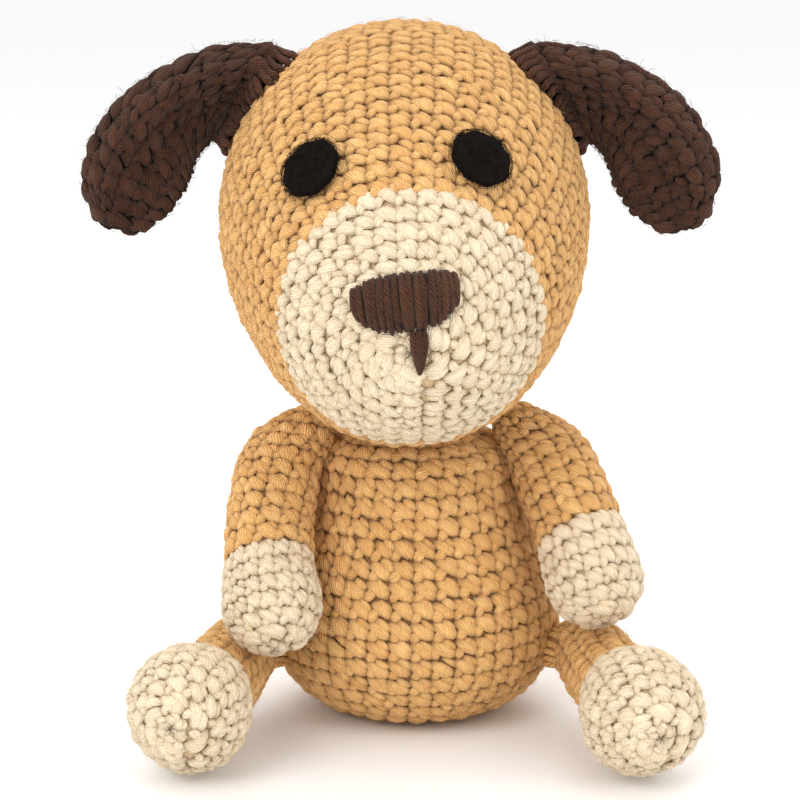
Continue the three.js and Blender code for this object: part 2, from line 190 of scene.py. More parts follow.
FLOOR_HALF = 40.0  # metres, so that its far edge is the horizon
floor_mesh = bpy.data.meshes.new("floor")
corners = [(x * FLOOR_HALF, y * FLOOR_HALF, 0) for x, y in ((-1, -1), (1, -1), (1, 1), (-1, 1))]
floor_mesh.from_pydata(corners, [], [(0, 1, 2, 3)])
floor = bpy.data.objects.new("floor", floor_mesh)
floor.data.materials.append(pale_floor())
bpy.context.scene.collection.objects.link(floor)


def soft_panel(name, place, size, power, tint=(1, 1, 1)):
    """A square panel of light that faces the dog's middle."""
    data = bpy.data.lights.new(name, "AREA")
    data.size = size
    data.energy = power
    data.color = tint
    panel = bpy.data.objects.new(name, data)
    panel.location = place
    panel.rotation_euler = (LOOKED_AT - Vector(place)).to_track_quat("-Z", "Y").to_euler()
    bpy.context.scene.collection.objects.link(panel)


soft_panel("window_left", (-0.7, -0.9, 0.8), 0.7, 6.4, (1, 0.985, 0.96))
soft_panel("window_right", (0.9, -0.7, 0.6), 0.8, 3.0, (1, 0.99, 0.98))
soft_panel("overhead", (0, 0.1, 1.1), 0.9, 2.6)
soft_panel("behind", (0.2, 1.0, 0.6), 0.7, 1.4)

world = bpy.data.worlds.new("room")
world.use_nodes = True
room = Signal(world.node_tree)
world.node_tree.nodes.clear()
glow = room.make("ShaderNodeBackground", inputs={"Color": (1, 1, 1, 1), "Strength": 1.0})
room.make("ShaderNodeOutputWorld", inputs={"Surface": glow})
bpy.context.scene.world = world
bpy.context.scene.view_settings.view_transform = "Standard"


# %% [markdown]
# ## Yarn
# The yarn is a soft acrylic: several thin plies twisted together, with short fibres that run along
# each ply. Every strand that is laid below carries its own ruler: how far along and around the
# strand a point is. The plies and fibres are drawn on that ruler at a slant, so that they follow the
# yarn wherever it bends, and the same pattern raises the surface. Yarn deep in the fabric is painted
# darker, as painted shade for the light that the stitches over it keep out.

# %% The yarn material
PLY_SLANT = math.radians(52)  # turns the ruler until its first axis lies across the plies
PLY_WIDTH = 0.62
PLY_WANDER = 9.0  # how far the plies stray from even spacing, as an angle of their wave
YARN_BUMP = 0.34  # how deep the grooves between the plies are
FIBRE_GRAIN = (5.0, 0.7, 1.0)  # features to a millimetre, across the fibres and along them


def yarn(name, light, dark, shade_colour, sheen):
    """Twisted yarn between two colours, with painted shade towards a third deep in the fabric."""
    material, start = new_material(name)
    ruler = start.attribute("strand", "Vector")
    turned = start.stretched(ruler, PLY_SLANT, (1.0, 1.0, 1.0))
    wander = start.noise(turned, 0.55, 1.0)
    fibre = start.noise(start.stretched(ruler, PLY_SLANT, FIBRE_GRAIN), 1.0, 2.0)
    across = start.make("ShaderNodeSeparateXYZ", inputs={"Vector": turned})
    phase = (2 * math.pi / PLY_WIDTH) * across + PLY_WANDER * wander
    ply = 0.5 + 0.5 * start.maths("SINE", phase, 0.0)
    streaks = 0.5 * (ply - 0.5) + 1.5 * (fibre - 0.5)
    tone = streaks + 0.35 * start.attribute("shade") + 0.42
    paint = start.mixed(tone, dark, light)
    # painted shade: the deeper a point lies in the fabric, the nearer its colour comes to the shade colour
    shadow = start.mixed(0.9 * start.attribute("depth"), paint, shade_colour)
    grooves = start.bump(1.0, YARN_BUMP, 0.65 * ply + 0.35 * fibre)
    start.surface({
        "Base Color": shadow, "Roughness": 0.78 + 0.2 * fibre, "Normal": grooves,
        "Specular IOR Level": 0.2, "Sheen Weight": sheen, "Sheen Roughness": 0.45,
    })
    return material


# each yarn's third colour is its painted shade, the colour it takes deep in the fabric
TAN = yarn("tan_yarn", colour(246, 199, 132), colour(214, 152, 84), colour(88, 44, 12), 0.1)
CREAM = yarn("cream_yarn", colour(250, 233, 203), colour(234, 210, 174), colour(200, 168, 124), 0.1)
BROWN = yarn("brown_yarn", colour(92, 57, 38), colour(38, 20, 11), colour(12, 6, 3), 0.08)


# %% [markdown]
# ## Gathering strands into a mesh
# One stitch is a few closed tubes of yarn, and a piece has hundreds. Making an object for each would
# be slow, so a skein collects the points and faces of them all, with the ruler of each point, and
# turns them into a single object.

# %% A skein
class Skein:
    """Collects closed tubes and skins, and makes one object of them."""

    def __init__(self):
        self.points = []
        self.faces = []
        self.rulers = []
        self.shades = []
        self.painted_shade = []
        self.count = 0

    def add(self, points, faces, rulers, shades, painted_shade):
        """Points as an array of rows of three, and faces as a list of arrays of their numbers."""
        self.points.append(points.reshape(-1, 3))
        self.rulers.append(rulers.reshape(-1, 3))
        self.shades.append(shades.ravel())
        self.painted_shade.append(painted_shade.ravel())
        for group in faces:
            self.faces.extend((group + self.count).tolist())
        self.count += self.points[-1].shape[0]

    def made(self, name, material, body, replaces=()):
        """The object, smooth, with its finish, riding on a body of the frame if one is named."""
        mesh = bpy.data.meshes.new(name)
        mesh.from_pydata(np.concatenate(self.points) * MM, [], self.faces)
        # the depth attribute holds painted shade, which the yarn's material reads
        values = {"shade": np.concatenate(self.shades), "depth": np.concatenate(self.painted_shade)}
        for title, numbers in values.items():
            mesh.attributes.new(title, "FLOAT", "POINT").data.foreach_set("value", numbers)
        ruler = mesh.attributes.new("strand", "FLOAT_VECTOR", "POINT")
        ruler.data.foreach_set("vector", np.concatenate(self.rulers).ravel())
        mesh.polygons.foreach_set("use_smooth", np.ones(len(mesh.polygons), bool))
        mesh.materials.append(material)
        mesh.validate()
        piece = bpy.data.objects.new(name, mesh)
        bpy.context.scene.collection.objects.link(piece)
        if body:
            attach(piece, body)
        if replaces:
            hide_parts(*replaces)
        print(name, len(mesh.polygons), "faces")
        return piece


# %% Laying strands
def tube_faces(tubes, along, around):
    """The faces of closed tubes whose points are numbered tube, then ring, then round the ring."""
    rings = np.arange(tubes * along * around).reshape(tubes, along, around)
    turned = np.roll(rings, -1, axis=2)
    sides = np.stack([rings[:, :-1], turned[:, :-1], turned[:, 1:], rings[:, 1:]], axis=-1)
    return [sides.reshape(-1, 4), rings[:, 0, ::-1], rings[:, -1]]


def unit(vectors):
    """The same directions, each of length 1."""
    return vectors / np.maximum(np.linalg.norm(vectors, axis=-1, keepdims=True), 1e-9)


RULERS_APART = 90  # keeps the patterns of two strands from matching
PLUMPNESS = 0.45  # a lower power keeps a strand fat nearer to its ends


def ruled(along, around, seed, shape):
    """The ruler of each point: how far along and around its strand, and which strand it is."""
    parts = (along, around, seed * RULERS_APART)
    return np.stack([np.broadcast_to(part, shape) for part in parts], axis=-1)


# depth is how far the tubes are painted into shade
def lay_strands(skein, paths, wide, thick, up, around=8, depth=0.0):
    """Lays tubes along paths, an array of tubes, rings and places. Wide and thick are half sizes."""
    tubes, along, _ = paths.shape
    tangent = unit(np.gradient(paths, axis=1))
    side = unit(np.cross(tangent, up))
    rise = np.cross(side, tangent)
    turn = np.linspace(0, 2 * np.pi, around, endpoint=False)[:, None] - np.pi / 2
    taper = np.sin(np.pi * np.linspace(0.06, 0.94, along)) ** PLUMPNESS
    wide, thick = (
        np.broadcast_to(size, (tubes, along))[..., None, None] * taper[None, :, None, None]
        for size in (wide, thick)
    )
    ring = side[:, :, None] * wide * np.cos(turn) + rise[:, :, None] * thick * np.sin(turn)
    points = paths[:, :, None] + ring
    run = np.cumsum(np.linalg.norm(np.diff(paths, axis=1, prepend=paths[:, :1]), axis=-1), axis=1)
    shape = points.shape[:3]
    seed = draw.random(tubes)[:, None, None]
    rulers = ruled(run[:, :, None], turn[:, 0] * np.mean(wide), seed, shape)
    shades = np.broadcast_to(seed, shape)
    skein.add(points, tube_faces(*shape), rulers, shades, np.full(shape, depth))


# %% [markdown]
# ## Measuring the shapes
# The frame already says how big each shell is, so each one is measured instead of drawn again: rays
# are sent in towards a line inside the piece, and where they land gives a grid of places, row after
# row from the tip where the crochet starts. The frame is faceted, so the grid is smoothed. The grid
# then answers one question: where is the place so far along the fabric and so far round it?

# %% A measured fabric
TURNS = 96  # rays round each ring
BODY_REACH, HEAD_REACH, LIMB_REACH = 70, 95, 45  # how far out the rays start


def node_tree_of(nodes):
    """The surfaces of some frame nodes, ready for rays, in millimetres."""
    points = []
    faces = []
    for node in nodes:
        mesh = frame["nodes"][node].data
        faces.extend([[v + len(points) for v in face.vertices] for face in mesh.polygons])
        points.extend([vertex.co / MM for vertex in mesh.vertices])
    return BVHTree.FromPolygons(points, faces)


def blurred(values, width, axis, mode):
    """Values evened out over their neighbours along one axis."""
    pad = [(0, 0), (0, 0)]
    pad[axis] = (width, width)
    padded = np.pad(values, pad, mode=mode)
    weights = width + 1.0 - np.abs(np.arange(-width, width + 1))
    size = values.shape[axis]
    parts = [w * padded.take(range(i, i + size), axis) for i, w in enumerate(weights)]
    return sum(parts) / weights.sum()


def measured(nodes, bases, directions, reach):
    """Places where rays sent in towards the bases first meet the nodes."""
    tree = node_tree_of(nodes)
    radius = np.zeros(directions.shape[:2])
    for row, base in enumerate(bases):
        for turn, direction in enumerate(directions[row]):
            hit = tree.ray_cast(Vector(base + direction * reach), Vector(-direction), reach)
            near = radius[row - 1, turn] if row else 0
            radius[row, turn] = reach - hit[3] if hit[3] is not None else near
    window = np.pad(radius, [(2, 2), (0, 0)], mode="edge")
    rows = len(radius)
    radius = np.median([window[i:i + rows] for i in range(5)], axis=0)
    radius = blurred(blurred(radius, 3, 1, "wrap"), 3, 0, "edge")
    return bases[:, None] + directions * radius[..., None]


# %% Asking a fabric for places
class Fabric:
    """Rows of places on a shell, from the pole where its first round is worked."""

    def __init__(self, points):
        self.points = points
        steps = np.linalg.norm(np.diff(points, axis=0), axis=-1).mean(axis=1)
        self.along = np.concatenate([[0], np.cumsum(steps)])
        loops = np.linalg.norm(points - np.roll(points, -1, axis=1), axis=-1)
        self.around = loops.sum(axis=1)
        self.length = self.along[-1]
        outward = np.gradient(points, axis=0)
        sideways = np.roll(points, -1, axis=1) - np.roll(points, 1, axis=1)
        normals = unit(np.cross(sideways, outward))
        normals[0] = unit(normals[1].mean(axis=0))
        if self.around[-1] < 1:
            normals[-1] = unit(normals[-2].mean(axis=0))
        self.normals = normals

    def sample(self, grid, along, turn):
        """The grid's value between its rows and turns. A place short of the pole is beyond it."""
        turn = np.where(along < 0, turn + 0.5, turn) % 1 * grid.shape[1]
        row = np.interp(np.abs(along), self.along, np.arange(len(self.along)))
        low = np.minimum(row.astype(int), len(grid) - 2)
        left = turn.astype(int) % grid.shape[1]
        right = (left + 1) % grid.shape[1]
        down = (row - low)[..., None]
        over = (turn - np.floor(turn))[..., None]
        first = grid[low, left] * (1 - over) + grid[low, right] * over
        second = grid[low + 1, left] * (1 - over) + grid[low + 1, right] * over
        return first * (1 - down) + second * down

    def place(self, along, turn, height):
        """Places that far above the shell's outer face."""
        normal = unit(self.sample(self.normals, along, turn))
        return self.sample(self.points, along, turn) + normal * np.asarray(height)[..., None]


# %% [markdown]
# ## One stitch
# A single crochet stitch shows three bits of yarn. The front leg sweeps across the cell from the far
# left corner to the near right one, thin where it comes out and fat where it goes back in. A short
# leg is tucked under it, leaning the other way, and the loop of the next stitch lies over its far
# right shoulder. Between them the corners of the cell stay open and dark. No two stitches are quite
# alike, because the hand that pulls them isn't a machine.

# %% The legs of a stitch
ROUND_PITCH, STITCH_WIDTH = 5.0, 5.5  # the cell that the sizes below are meant for
# start and end in shares of the cell, half width and half thickness, height of its middle and ends,
# the share of its length where it is fattest, rings along it and corners round it
LEGS = [
    {"start": (-0.6, 0.43), "end": (0.58, -0.38), "wide": 1.84, "thick": 1.0, "high": -0.85,
     "low": -1.6, "fattest": 0.54, "rings": 11, "corners": 10},
    {"start": (-0.5, -0.6), "end": (-0.06, 0.14), "wide": 1.4, "thick": 0.9, "high": -0.95,
     "low": -1.5, "fattest": 0.45, "rings": 8, "corners": 8},
    {"start": (-0.14, 0.6), "end": (0.62, 0.0), "wide": 1.15, "thick": 0.85, "high": -1.0,
     "low": -1.5, "fattest": 0.5, "rings": 8, "corners": 8},
]
FABRIC_DEPTH = 1.4  # how far the ground of the fabric lies below the tops of the stitches
UNEVEN = 0.035  # how far the ends of a leg stray, in shares of the cell


def lay_legs(skein, fabric, leg, centres, widths, pitch, loose):
    """Lays one leg of every stitch. Centres are how far along and round the fabric each stitch is."""
    count = len(centres)
    jitter = draw.normal(0, 1, (count, 7)) * loose
    start = np.array(leg["start"]) + UNEVEN * jitter[:, 0:2]
    end = np.array(leg["end"]) + UNEVEN * jitter[:, 2:4]
    cell = np.stack([widths, np.full(count, pitch)], axis=1)
    start, end = start * cell, end * cell
    size = (widths / STITCH_WIDTH + pitch / ROUND_PITCH) / 2
    part = np.linspace(0.02, 0.98, leg["rings"])
    lean = part ** (math.log(0.5) / math.log(leg["fattest"]))
    swell = np.sin(np.pi * lean) ** PLUMPNESS
    run = end - start
    length = np.linalg.norm(run, axis=1, keepdims=True)
    side = np.stack([-run[:, 1], run[:, 0]], axis=1) / length
    bow = 0.22 * jitter[:, 4:5] * np.sin(np.pi * part)
    middle = start[:, None] + run[:, None] * part[:, None] + side[:, None] * bow[..., None]
    turn = np.linspace(0, 2 * np.pi, leg["corners"], endpoint=False) - np.pi / 2
    wide = leg["wide"] * (size * (1 + 0.07 * jitter[:, 5]))[:, None] * swell
    spread = wide[..., None] * np.cos(turn)
    flat = middle[:, :, None] + side[:, None, None] * spread[..., None]
    high = leg["high"] + 0.12 * jitter[:, 6]
    crest = leg["low"] + (high - leg["low"])[:, None] * np.sin(np.pi * lean) ** 0.7
    height = crest[..., None] + (leg["thick"] * size[:, None] * swell)[..., None] * np.sin(turn)
    along = centres[:, 0, None, None] + flat[..., 1]
    girth = np.maximum(np.interp(np.abs(centres[:, 0]), fabric.along, fabric.around), 3.0)
    round_it = centres[:, 1, None, None] + flat[..., 0] / girth[:, None, None]
    points = fabric.place(along, round_it, height)
    shape = height.shape
    seed = draw.random(count)[:, None, None]
    rulers = ruled((part * length)[..., None], turn * leg["wide"], seed, shape)
    # painted shade: yarn further below the tops of the stitches is darker
    painted_shade = np.clip((-0.35 - height) / FABRIC_DEPTH, 0, 1)
    skein.add(points, tube_faces(*shape), rulers, np.broadcast_to(seed, shape), painted_shade)


# %% [markdown]
# ## Working in rounds
# The stitches follow a spiral, as the hook does, so a round starts where the last one ended and no
# step shows. The first round has six stitches, and each round gets as many as its girth needs, in
# sixes, which is how increases are usually spaced. The rounds are lined up at the front, so that
# the columns stand straight there, and start at the back.

# %% Rounds of stitches
BODY_GAUGE, HEAD_GAUGE, LIMB_GAUGE, EAR_GAUGE = (4.5, 5.0), (3.95, 4.4), (4.1, 4.4), (4.0, 4.2)
DRIFT = 0.03  # how much of a stitch each round moves sideways


def stitch_centres(fabric, start, end, gauge):
    """Where the stitches of a spiral are between two rows, with their widths and the pitch."""
    rounds = max(1, round((end - start) / gauge[0]))
    pitch = (end - start) / rounds
    centres = []
    widths = []
    for k in range(rounds):
        middle = start + (k + 0.5) * pitch
        girth = np.interp(middle, fabric.along, fabric.around)
        count = max(6, 6 * round(girth / gauge[1] / 6))
        climb = min(1.0, (k + start / pitch) / 2)
        for i in range(count):
            turn = (i - count // 2) / count
            centres.append((middle + turn * pitch * climb, turn + k * DRIFT / count))
            widths.append(girth / count)
    return np.array(centres), np.array(widths), pitch


def crochet(fabric, start, end, gauge, loose=1.0):
    """All the stitches between two rows of a fabric. A gauge is a round's height and a stitch's width."""
    skein = Skein()
    centres, widths, pitch = stitch_centres(fabric, start, end, gauge)
    for leg in LEGS:
        lay_legs(skein, fabric, leg, centres, widths, pitch, loose)
    return skein


# %% [markdown]
# ## The ground of the fabric
# Behind the front legs a crocheted fabric is closed by the back halves of its stitches. They only
# show as a dark ground through the corners of the cells, so a thin shell with a knobbly surface
# stands for them, its yarn painted most of the way to its shade colour as painted shade. It has an
# inside and an outside, as the fabric does.

# %% Shells
GROUND_THICKNESS = 0.9
GROUND_ROW = 1.6  # the spacing of its rows
GROUND_TURNS = 64
KNOB_SIZE, KNOB_HEIGHT = 2.6, 0.25


def skin_faces(rows, around, caps):
    """Faces between rows of points, with a cap on each row that has one."""
    grid = np.arange(rows * around).reshape(rows, around)
    sides = np.stack([grid[:-1], np.roll(grid[:-1], -1, 1), np.roll(grid[1:], -1, 1), grid[1:]], axis=-1)
    caps = [grid[row][None, ::-1] if flipped else grid[row][None] for row, flipped in caps]
    return [sides.reshape(-1, 4), *caps]


def knobbly(points, size, amount):
    """Small smooth bumps, the same for the same places."""
    waves = np.random.default_rng(7).normal(0, 1, (12, 4))
    directions = unit(waves[:, :3]) * (2 * np.pi / size)
    return amount * np.cos(points @ directions.T + waves[:, 3] * 9).mean(axis=-1) * 2


def add_rows(skein, points, faces, depth):
    """Adds a skin whose ruler is its own place, so its fibres run with the rows. Depth is painted shade."""
    skein.add(points, faces, points, np.full(points.shape[:2], 0.4), np.full(points.shape[:2], depth))


def ground(fabric, start, end, open_start, open_end):
    """A thin closed shell under the stitches between two rows."""
    skein = Skein()
    steps = max(6, int((end - start) / GROUND_ROW))
    turns = np.arange(GROUND_TURNS) / GROUND_TURNS
    along = np.linspace(max(start, 0.5), end, steps)[:, None]
    along, turn = np.broadcast_arrays(along, turns)
    outer = fabric.place(along, turn, np.full(along.shape, -FABRIC_DEPTH))
    lumps = knobbly(outer, KNOB_SIZE, KNOB_HEIGHT)
    outer = fabric.place(along, turn, -FABRIC_DEPTH + lumps)
    inner = fabric.place(along, turn, -FABRIC_DEPTH - GROUND_THICKNESS + lumps * 0.5)
    sections = np.concatenate([outer, inner[::-1]])
    rows = len(sections)
    grid = np.arange(rows * GROUND_TURNS).reshape(rows, GROUND_TURNS)
    faces = []
    for i in range(rows):
        if i == steps - 1 and not open_end or i == rows - 1 and not open_start:
            continue
        here, there = grid[i], grid[(i + 1) % rows]
        faces.append(np.stack([here, np.roll(here, -1), np.roll(there, -1), there], axis=-1))
    if not open_start:
        faces += [grid[0][None, ::-1], grid[-1][None]]
    if not open_end:
        faces += [grid[steps - 1][None], grid[steps][None, ::-1]]
    # 0.8: the shell is painted most of the way to the yarn's shade colour, as painted shade
    add_rows(skein, sections, faces, 0.8)
    return skein


# %% [markdown]
# ## Loose fibres
# Yarn is spun from short fibres, and their ends stand out of the surface as a faint halo. Each is a
# very thin curved hair. They are scattered over a fabric, and lie nearly flat, because handling
# presses them down.

# %% Hairs
def scatter_hairs(skein, roots, normals, length, rise, radius=0.035):
    """Lays a thin hair at each root, leaning over in a random direction."""
    count = len(roots)
    heading = unit(np.cross(normals, unit(draw.normal(0, 1, (count, 3)))))
    bend = unit(np.cross(normals, heading)) * draw.normal(0, 0.5, (count, 1))
    reach = length * draw.uniform(0.5, 1.2, (count, 1))
    lift = rise * draw.uniform(0.2, 1.0, (count, 1))
    part = np.linspace(0, 1, 4)[None, :, None]
    paths = roots[:, None] + (heading * reach)[:, None] * part + (bend * reach)[:, None] * part ** 2
    paths = paths + (normals * lift)[:, None] * np.sin(part * 2.2)
    lay_strands(skein, paths, radius, radius, normals[:, None], around=3)


FUZZ = 9  # hairs to a square centimetre, by default


def fuzz(fabric, start, end, density=FUZZ, length=2.2, rise=0.7):
    """A skein of loose fibres over a fabric, so many to a square centimetre."""
    skein = Skein()
    rows = np.linspace(start, end, 200)
    weight = np.interp(rows, fabric.along, fabric.around)
    area = weight.mean() * (end - start) / 100
    count = int(area * density)
    along = draw.choice(rows, count, p=weight / weight.sum())
    turn = draw.random(count)
    roots = fabric.place(along, turn, np.full(count, -0.25))
    scatter_hairs(skein, roots, unit(fabric.sample(fabric.normals, along, turn)), length, rise)
    return skein


# %% [markdown]
# ## The filling
# Each shell is packed with polyester fibre, which pushes the fabric out and holds it round. It never
# shows, but without it the pieces would be empty. It is a clumpy mass that stays just inside the
# fabric.

# %% Fibre filling
def fibre_filling():
    """White, matt, tangled fibre."""
    material, start = new_material("fibre_filling")
    place = start.make("ShaderNodeTexCoord", output="Object")
    clumps = start.noise(place, 260.0, 3.0)
    tangle = start.noise(place, 1900.0, 4.0, 0.7)
    paint = start.mixed(clumps, colour(214, 211, 204), colour(250, 249, 246))
    lumps = start.bump(0.8, 0.6, 0.5 * clumps + 0.5 * tangle)
    start.surface({
        "Base Color": paint, "Roughness": 0.85 + 0.1 * tangle, "Normal": lumps, "Sheen Weight": 0.3,
    })
    return material


FIBRE = fibre_filling()
FILLING_DEPTH, FILLING_LUMPS = 3.7, 0.5
CORE_ROW, CORE_TURNS = 2, 56


def core(fabric, depth, lumps, shadow=0.0):
    """A lumpy closed mass that lies that deep inside a fabric."""
    skein = Skein()
    rows = max(20, int(fabric.length / CORE_ROW))
    along = np.linspace(1.0, fabric.length, rows)[:, None]
    along, turn = np.broadcast_arrays(along, np.arange(CORE_TURNS) / CORE_TURNS)
    points = fabric.place(along, turn, np.full(along.shape, -depth))
    clumps = knobbly(points, 7.0, lumps) + knobbly(points, 3.0, 0.6 * lumps)
    points = fabric.place(along, turn, -depth - lumps + np.minimum(clumps, lumps))
    faces = skin_faces(rows, CORE_TURNS, [(0, True), (rows - 1, False)])
    add_rows(skein, points, faces, shadow)
    return skein


def stuffed(fabric, name, body, node):
    """The filling of a fabric, in place of one node of the frame."""
    filling = core(fabric, FILLING_DEPTH, FILLING_LUMPS)
    filling.made(name, FIBRE, body, [node])


def worked(name, fabric, start, end, gauge, yarn, body, node, open_ends):
    """Crochet between two rows, with its ground and its fuzz, in place of one node of the frame."""
    crochet(fabric, start, end, gauge).made(f"{name}_stitches", yarn, body, [node])
    ground(fabric, start, end, *open_ends).made(f"{name}_ground", yarn, body)
    fuzz(fabric, start, end).made(f"{name}_fuzz", yarn, body)


# %% [markdown]
# ## The body
# The body is a pear, worked from the middle of the seat up to the neck. The rays come from below for
# the seat, from all round for the sides, and from above for the shoulders.

# %% Body
def ring_directions(forward, right):
    """Directions all round, from forward and on towards right."""
    angle = np.linspace(0, 2 * np.pi, TURNS, endpoint=False)[:, None]
    return np.cos(angle) * forward + np.sin(angle) * right


BODY_LOW, BODY_HIGH = 22.0, 48.0  # heights between which the sides are measured level
SHOULDER_SLOPE = math.radians(59)
# the sewing draws the body out towards the arms by so much, at this height and over this spread
SHOULDER_BULGE, SHOULDER_HEIGHT, SHOULDER_SPREAD = 2.6, 62.0, 6.0


def body_fabric():
    """Measures the pear from the seat's middle to the neck."""
    ring = ring_directions(np.array([0, -1.0, 0]), np.array([1.0, 0, 0]))
    up = np.array([0, 0, 1.0])
    bases = []
    directions = []
    for angle in np.radians(np.arange(0, 90, 4)):
        bases.append(up * BODY_LOW)
        directions.append(ring * math.sin(angle) - up * math.cos(angle))
    for height in np.arange(BODY_LOW, BODY_HIGH, 1.5):
        bases.append(up * height)
        directions.append(ring)
    for angle in np.linspace(0, SHOULDER_SLOPE, 14):
        bases.append(up * BODY_HIGH)
        directions.append(ring * math.cos(angle) + up * math.sin(angle))
    points = measured(["body_shell"], np.array(bases), np.array(directions), BODY_REACH)
    girth = np.linalg.norm(points[..., :2], axis=-1, keepdims=True)
    sideways = points[..., :1] / np.maximum(girth, 1) * [1, 0, 0]
    rise = np.exp(-(((points[..., 2:] - SHOULDER_HEIGHT) / SHOULDER_SPREAD) ** 2))
    return Fabric(points + SHOULDER_BULGE * rise * sideways)


body = body_fabric()
worked("body", body, 0, body.length, BODY_GAUGE, TAN, "body", "body_shell", (False, True))
stuffed(body, "body_stuffing", "body", "body_filling")

# %% [markdown]
# ## The head
# The head is worked from the tip of the snout backwards, so its rounds ring the snout and then open
# out over the skull. The first rounds are pale, and the yarn changes where the snout ends. The first
# tan stitches reach into the last pale round, which makes the edge between the colours jagged.

# %% Head
head_turn = next(joint for joint in frame["joints"] if joint["name"] == "head_turn")
NECK = np.array(head_turn["pos_m"]) / MM
LEAN = math.atan2(head_turn["axis"][0], head_turn["axis"][2])
SKULL_CENTRE = np.array([0, -3.0, 44.5])
SNOUT_CENTRE = np.array([0, -33.9, 29.7])
SNOUT_RADIUS = 29.2
SNOUT_DROP, CROWN_DROP = 10.0, 32.0  # degrees that the rounds tip down at the front and the back
COLOUR_CHANGE = 69.5  # degrees from the snout's pole
TAN_REACH = 1.4  # how far the first tan stitches reach into the last pale round
FACE_SHARE = 0.45  # how much of the tan part is the face, and the rest the crown
MUZZLE_FUZZ = 10


def leaned(points):
    """Places in the head's own frame, turned and moved to where the head sits."""
    x, y, z = points[..., 0], points[..., 1], points[..., 2]
    cosine, sine = math.cos(LEAN), math.sin(LEAN)
    return np.stack([x * cosine + z * sine, y, z * cosine - x * sine], axis=-1)


def smoothstep(value, low, high):
    """0 below low, 1 above high and an easy slope between them."""
    part = min(1, max(0, (value - low) / (high - low)))
    return part * part * (3 - 2 * part)


HEAD_ANGLES = np.arange(0, 180.1, 2)
EASE_FROM, DROP_BY, SHIFT_BY = 75, 160, 150  # degrees over which the rounds leave the snout


def head_fabric():
    """Measures the head from the tip of the snout to the back of the skull."""
    bases = []
    directions = []
    for angle in HEAD_ANGLES:
        tipped = smoothstep(angle, EASE_FROM, DROP_BY)
        drop = math.radians(SNOUT_DROP + (CROWN_DROP - SNOUT_DROP) * tipped)
        origin = SNOUT_CENTRE + (SKULL_CENTRE - SNOUT_CENTRE) * smoothstep(angle, EASE_FROM, SHIFT_BY)
        axis = np.array([0, -math.cos(drop), -math.sin(drop)])
        up = np.array([0, -math.sin(drop), math.cos(drop)])
        ring = ring_directions(up, np.array([1.0, 0, 0]))
        polar = math.radians(angle)
        directions.append(leaned(axis * math.cos(polar) + ring * math.sin(polar)))
        bases.append(leaned(origin) + NECK)
    nodes = ["head_shell", "muzzle_shell"]
    return Fabric(measured(nodes, np.array(bases), np.array(directions), HEAD_REACH))


# %% Crochet the head
head = head_fabric()
muzzle_end = float(np.interp(COLOUR_CHANGE, HEAD_ANGLES, head.along))
face_end = muzzle_end + (head.length - muzzle_end) * FACE_SHARE
crochet(head, 0, muzzle_end, HEAD_GAUGE).made("muzzle_stitches", CREAM, "head", ["muzzle_shell"])
ground(head, 0, muzzle_end, False, True).made("muzzle_ground", CREAM, "head")
fuzz(head, 0, muzzle_end, MUZZLE_FUZZ).made("muzzle_fuzz", CREAM, "head")
face = crochet(head, muzzle_end - TAN_REACH, face_end, HEAD_GAUGE)
face.made("face_stitches", TAN, "head", ["head_shell"])
crochet(head, face_end, head.length, HEAD_GAUGE).made("crown_stitches", TAN, "head")
ground(head, muzzle_end, head.length, True, False).made("head_ground", TAN, "head")
fuzz(head, muzzle_end, head.length).made("head_fuzz", TAN, "head")
stuffed(head, "head_stuffing", "head", "head_filling")

# %% [markdown]
# ## The limbs
# Each arm and leg is a sock, worked from the tip of its pale paw and changed to tan part of the way
# up. A line down its middle is enough to measure it: rays come in square to the line, and fan out
# round the paw and the sewn end.

# %% Arms and legs
ARM_LINES = {
    "left": [(-31, -39.5, 24), (-31.5, -32, 33.4), (-32.6, -21.5, 45.5), (-29.9, -7.3, 61.5),
             (-25.6, -3.7, 69.2)],
    "right": [(41.4, -32, 27.6), (39.4, -26, 37.4), (35.9, -18, 48.5), (29.7, -6.8, 62), (25.6, -3.4, 69.8)],
}
LEG_LINES = {
    "left": [(-51, -63.8, 13.6), (-48, -50, 15.7), (-43, -30, 15), (-40.4, -15, 16.6), (-38.2, -7, 17)],
    "right": [(51, -65.2, 10.2), (47.8, -52.5, 15.7), (43, -30, 15), (40.4, -15, 16.6), (38.2, -7, 17)],
}
PAW_ANGLES = np.radians(np.arange(0, 90, 7.5))
SEWN_END = math.radians(26)  # the rays stop this far from the sewn end's pole
CLOSING = np.array([0.66, 0.33, 0.02])  # the rows that close it, in shares of its last ring
SEWN_REACH = 17.0  # how much of a limb the sewing draws in to the body


def smooth_line(points, steps=80):
    """A curve through a few places, by Catmull and Rom's rule."""
    p = np.array(points, float)
    p = np.concatenate([[2 * p[0] - p[1]], p, [2 * p[-1] - p[-2]]])
    pieces = []
    for i in range(1, len(p) - 2):
        t = np.linspace(0, 1, steps, endpoint=False)[:, None]
        a, b, c, d = p[i - 1:i + 3]
        pieces.append(0.5 * (2 * b + (c - a) * t + (2 * a - 5 * b + 4 * c - d) * t ** 2
                             + (3 * b - a - 3 * c + d) * t ** 3))
    return np.concatenate(pieces + [p[-2:-1]])


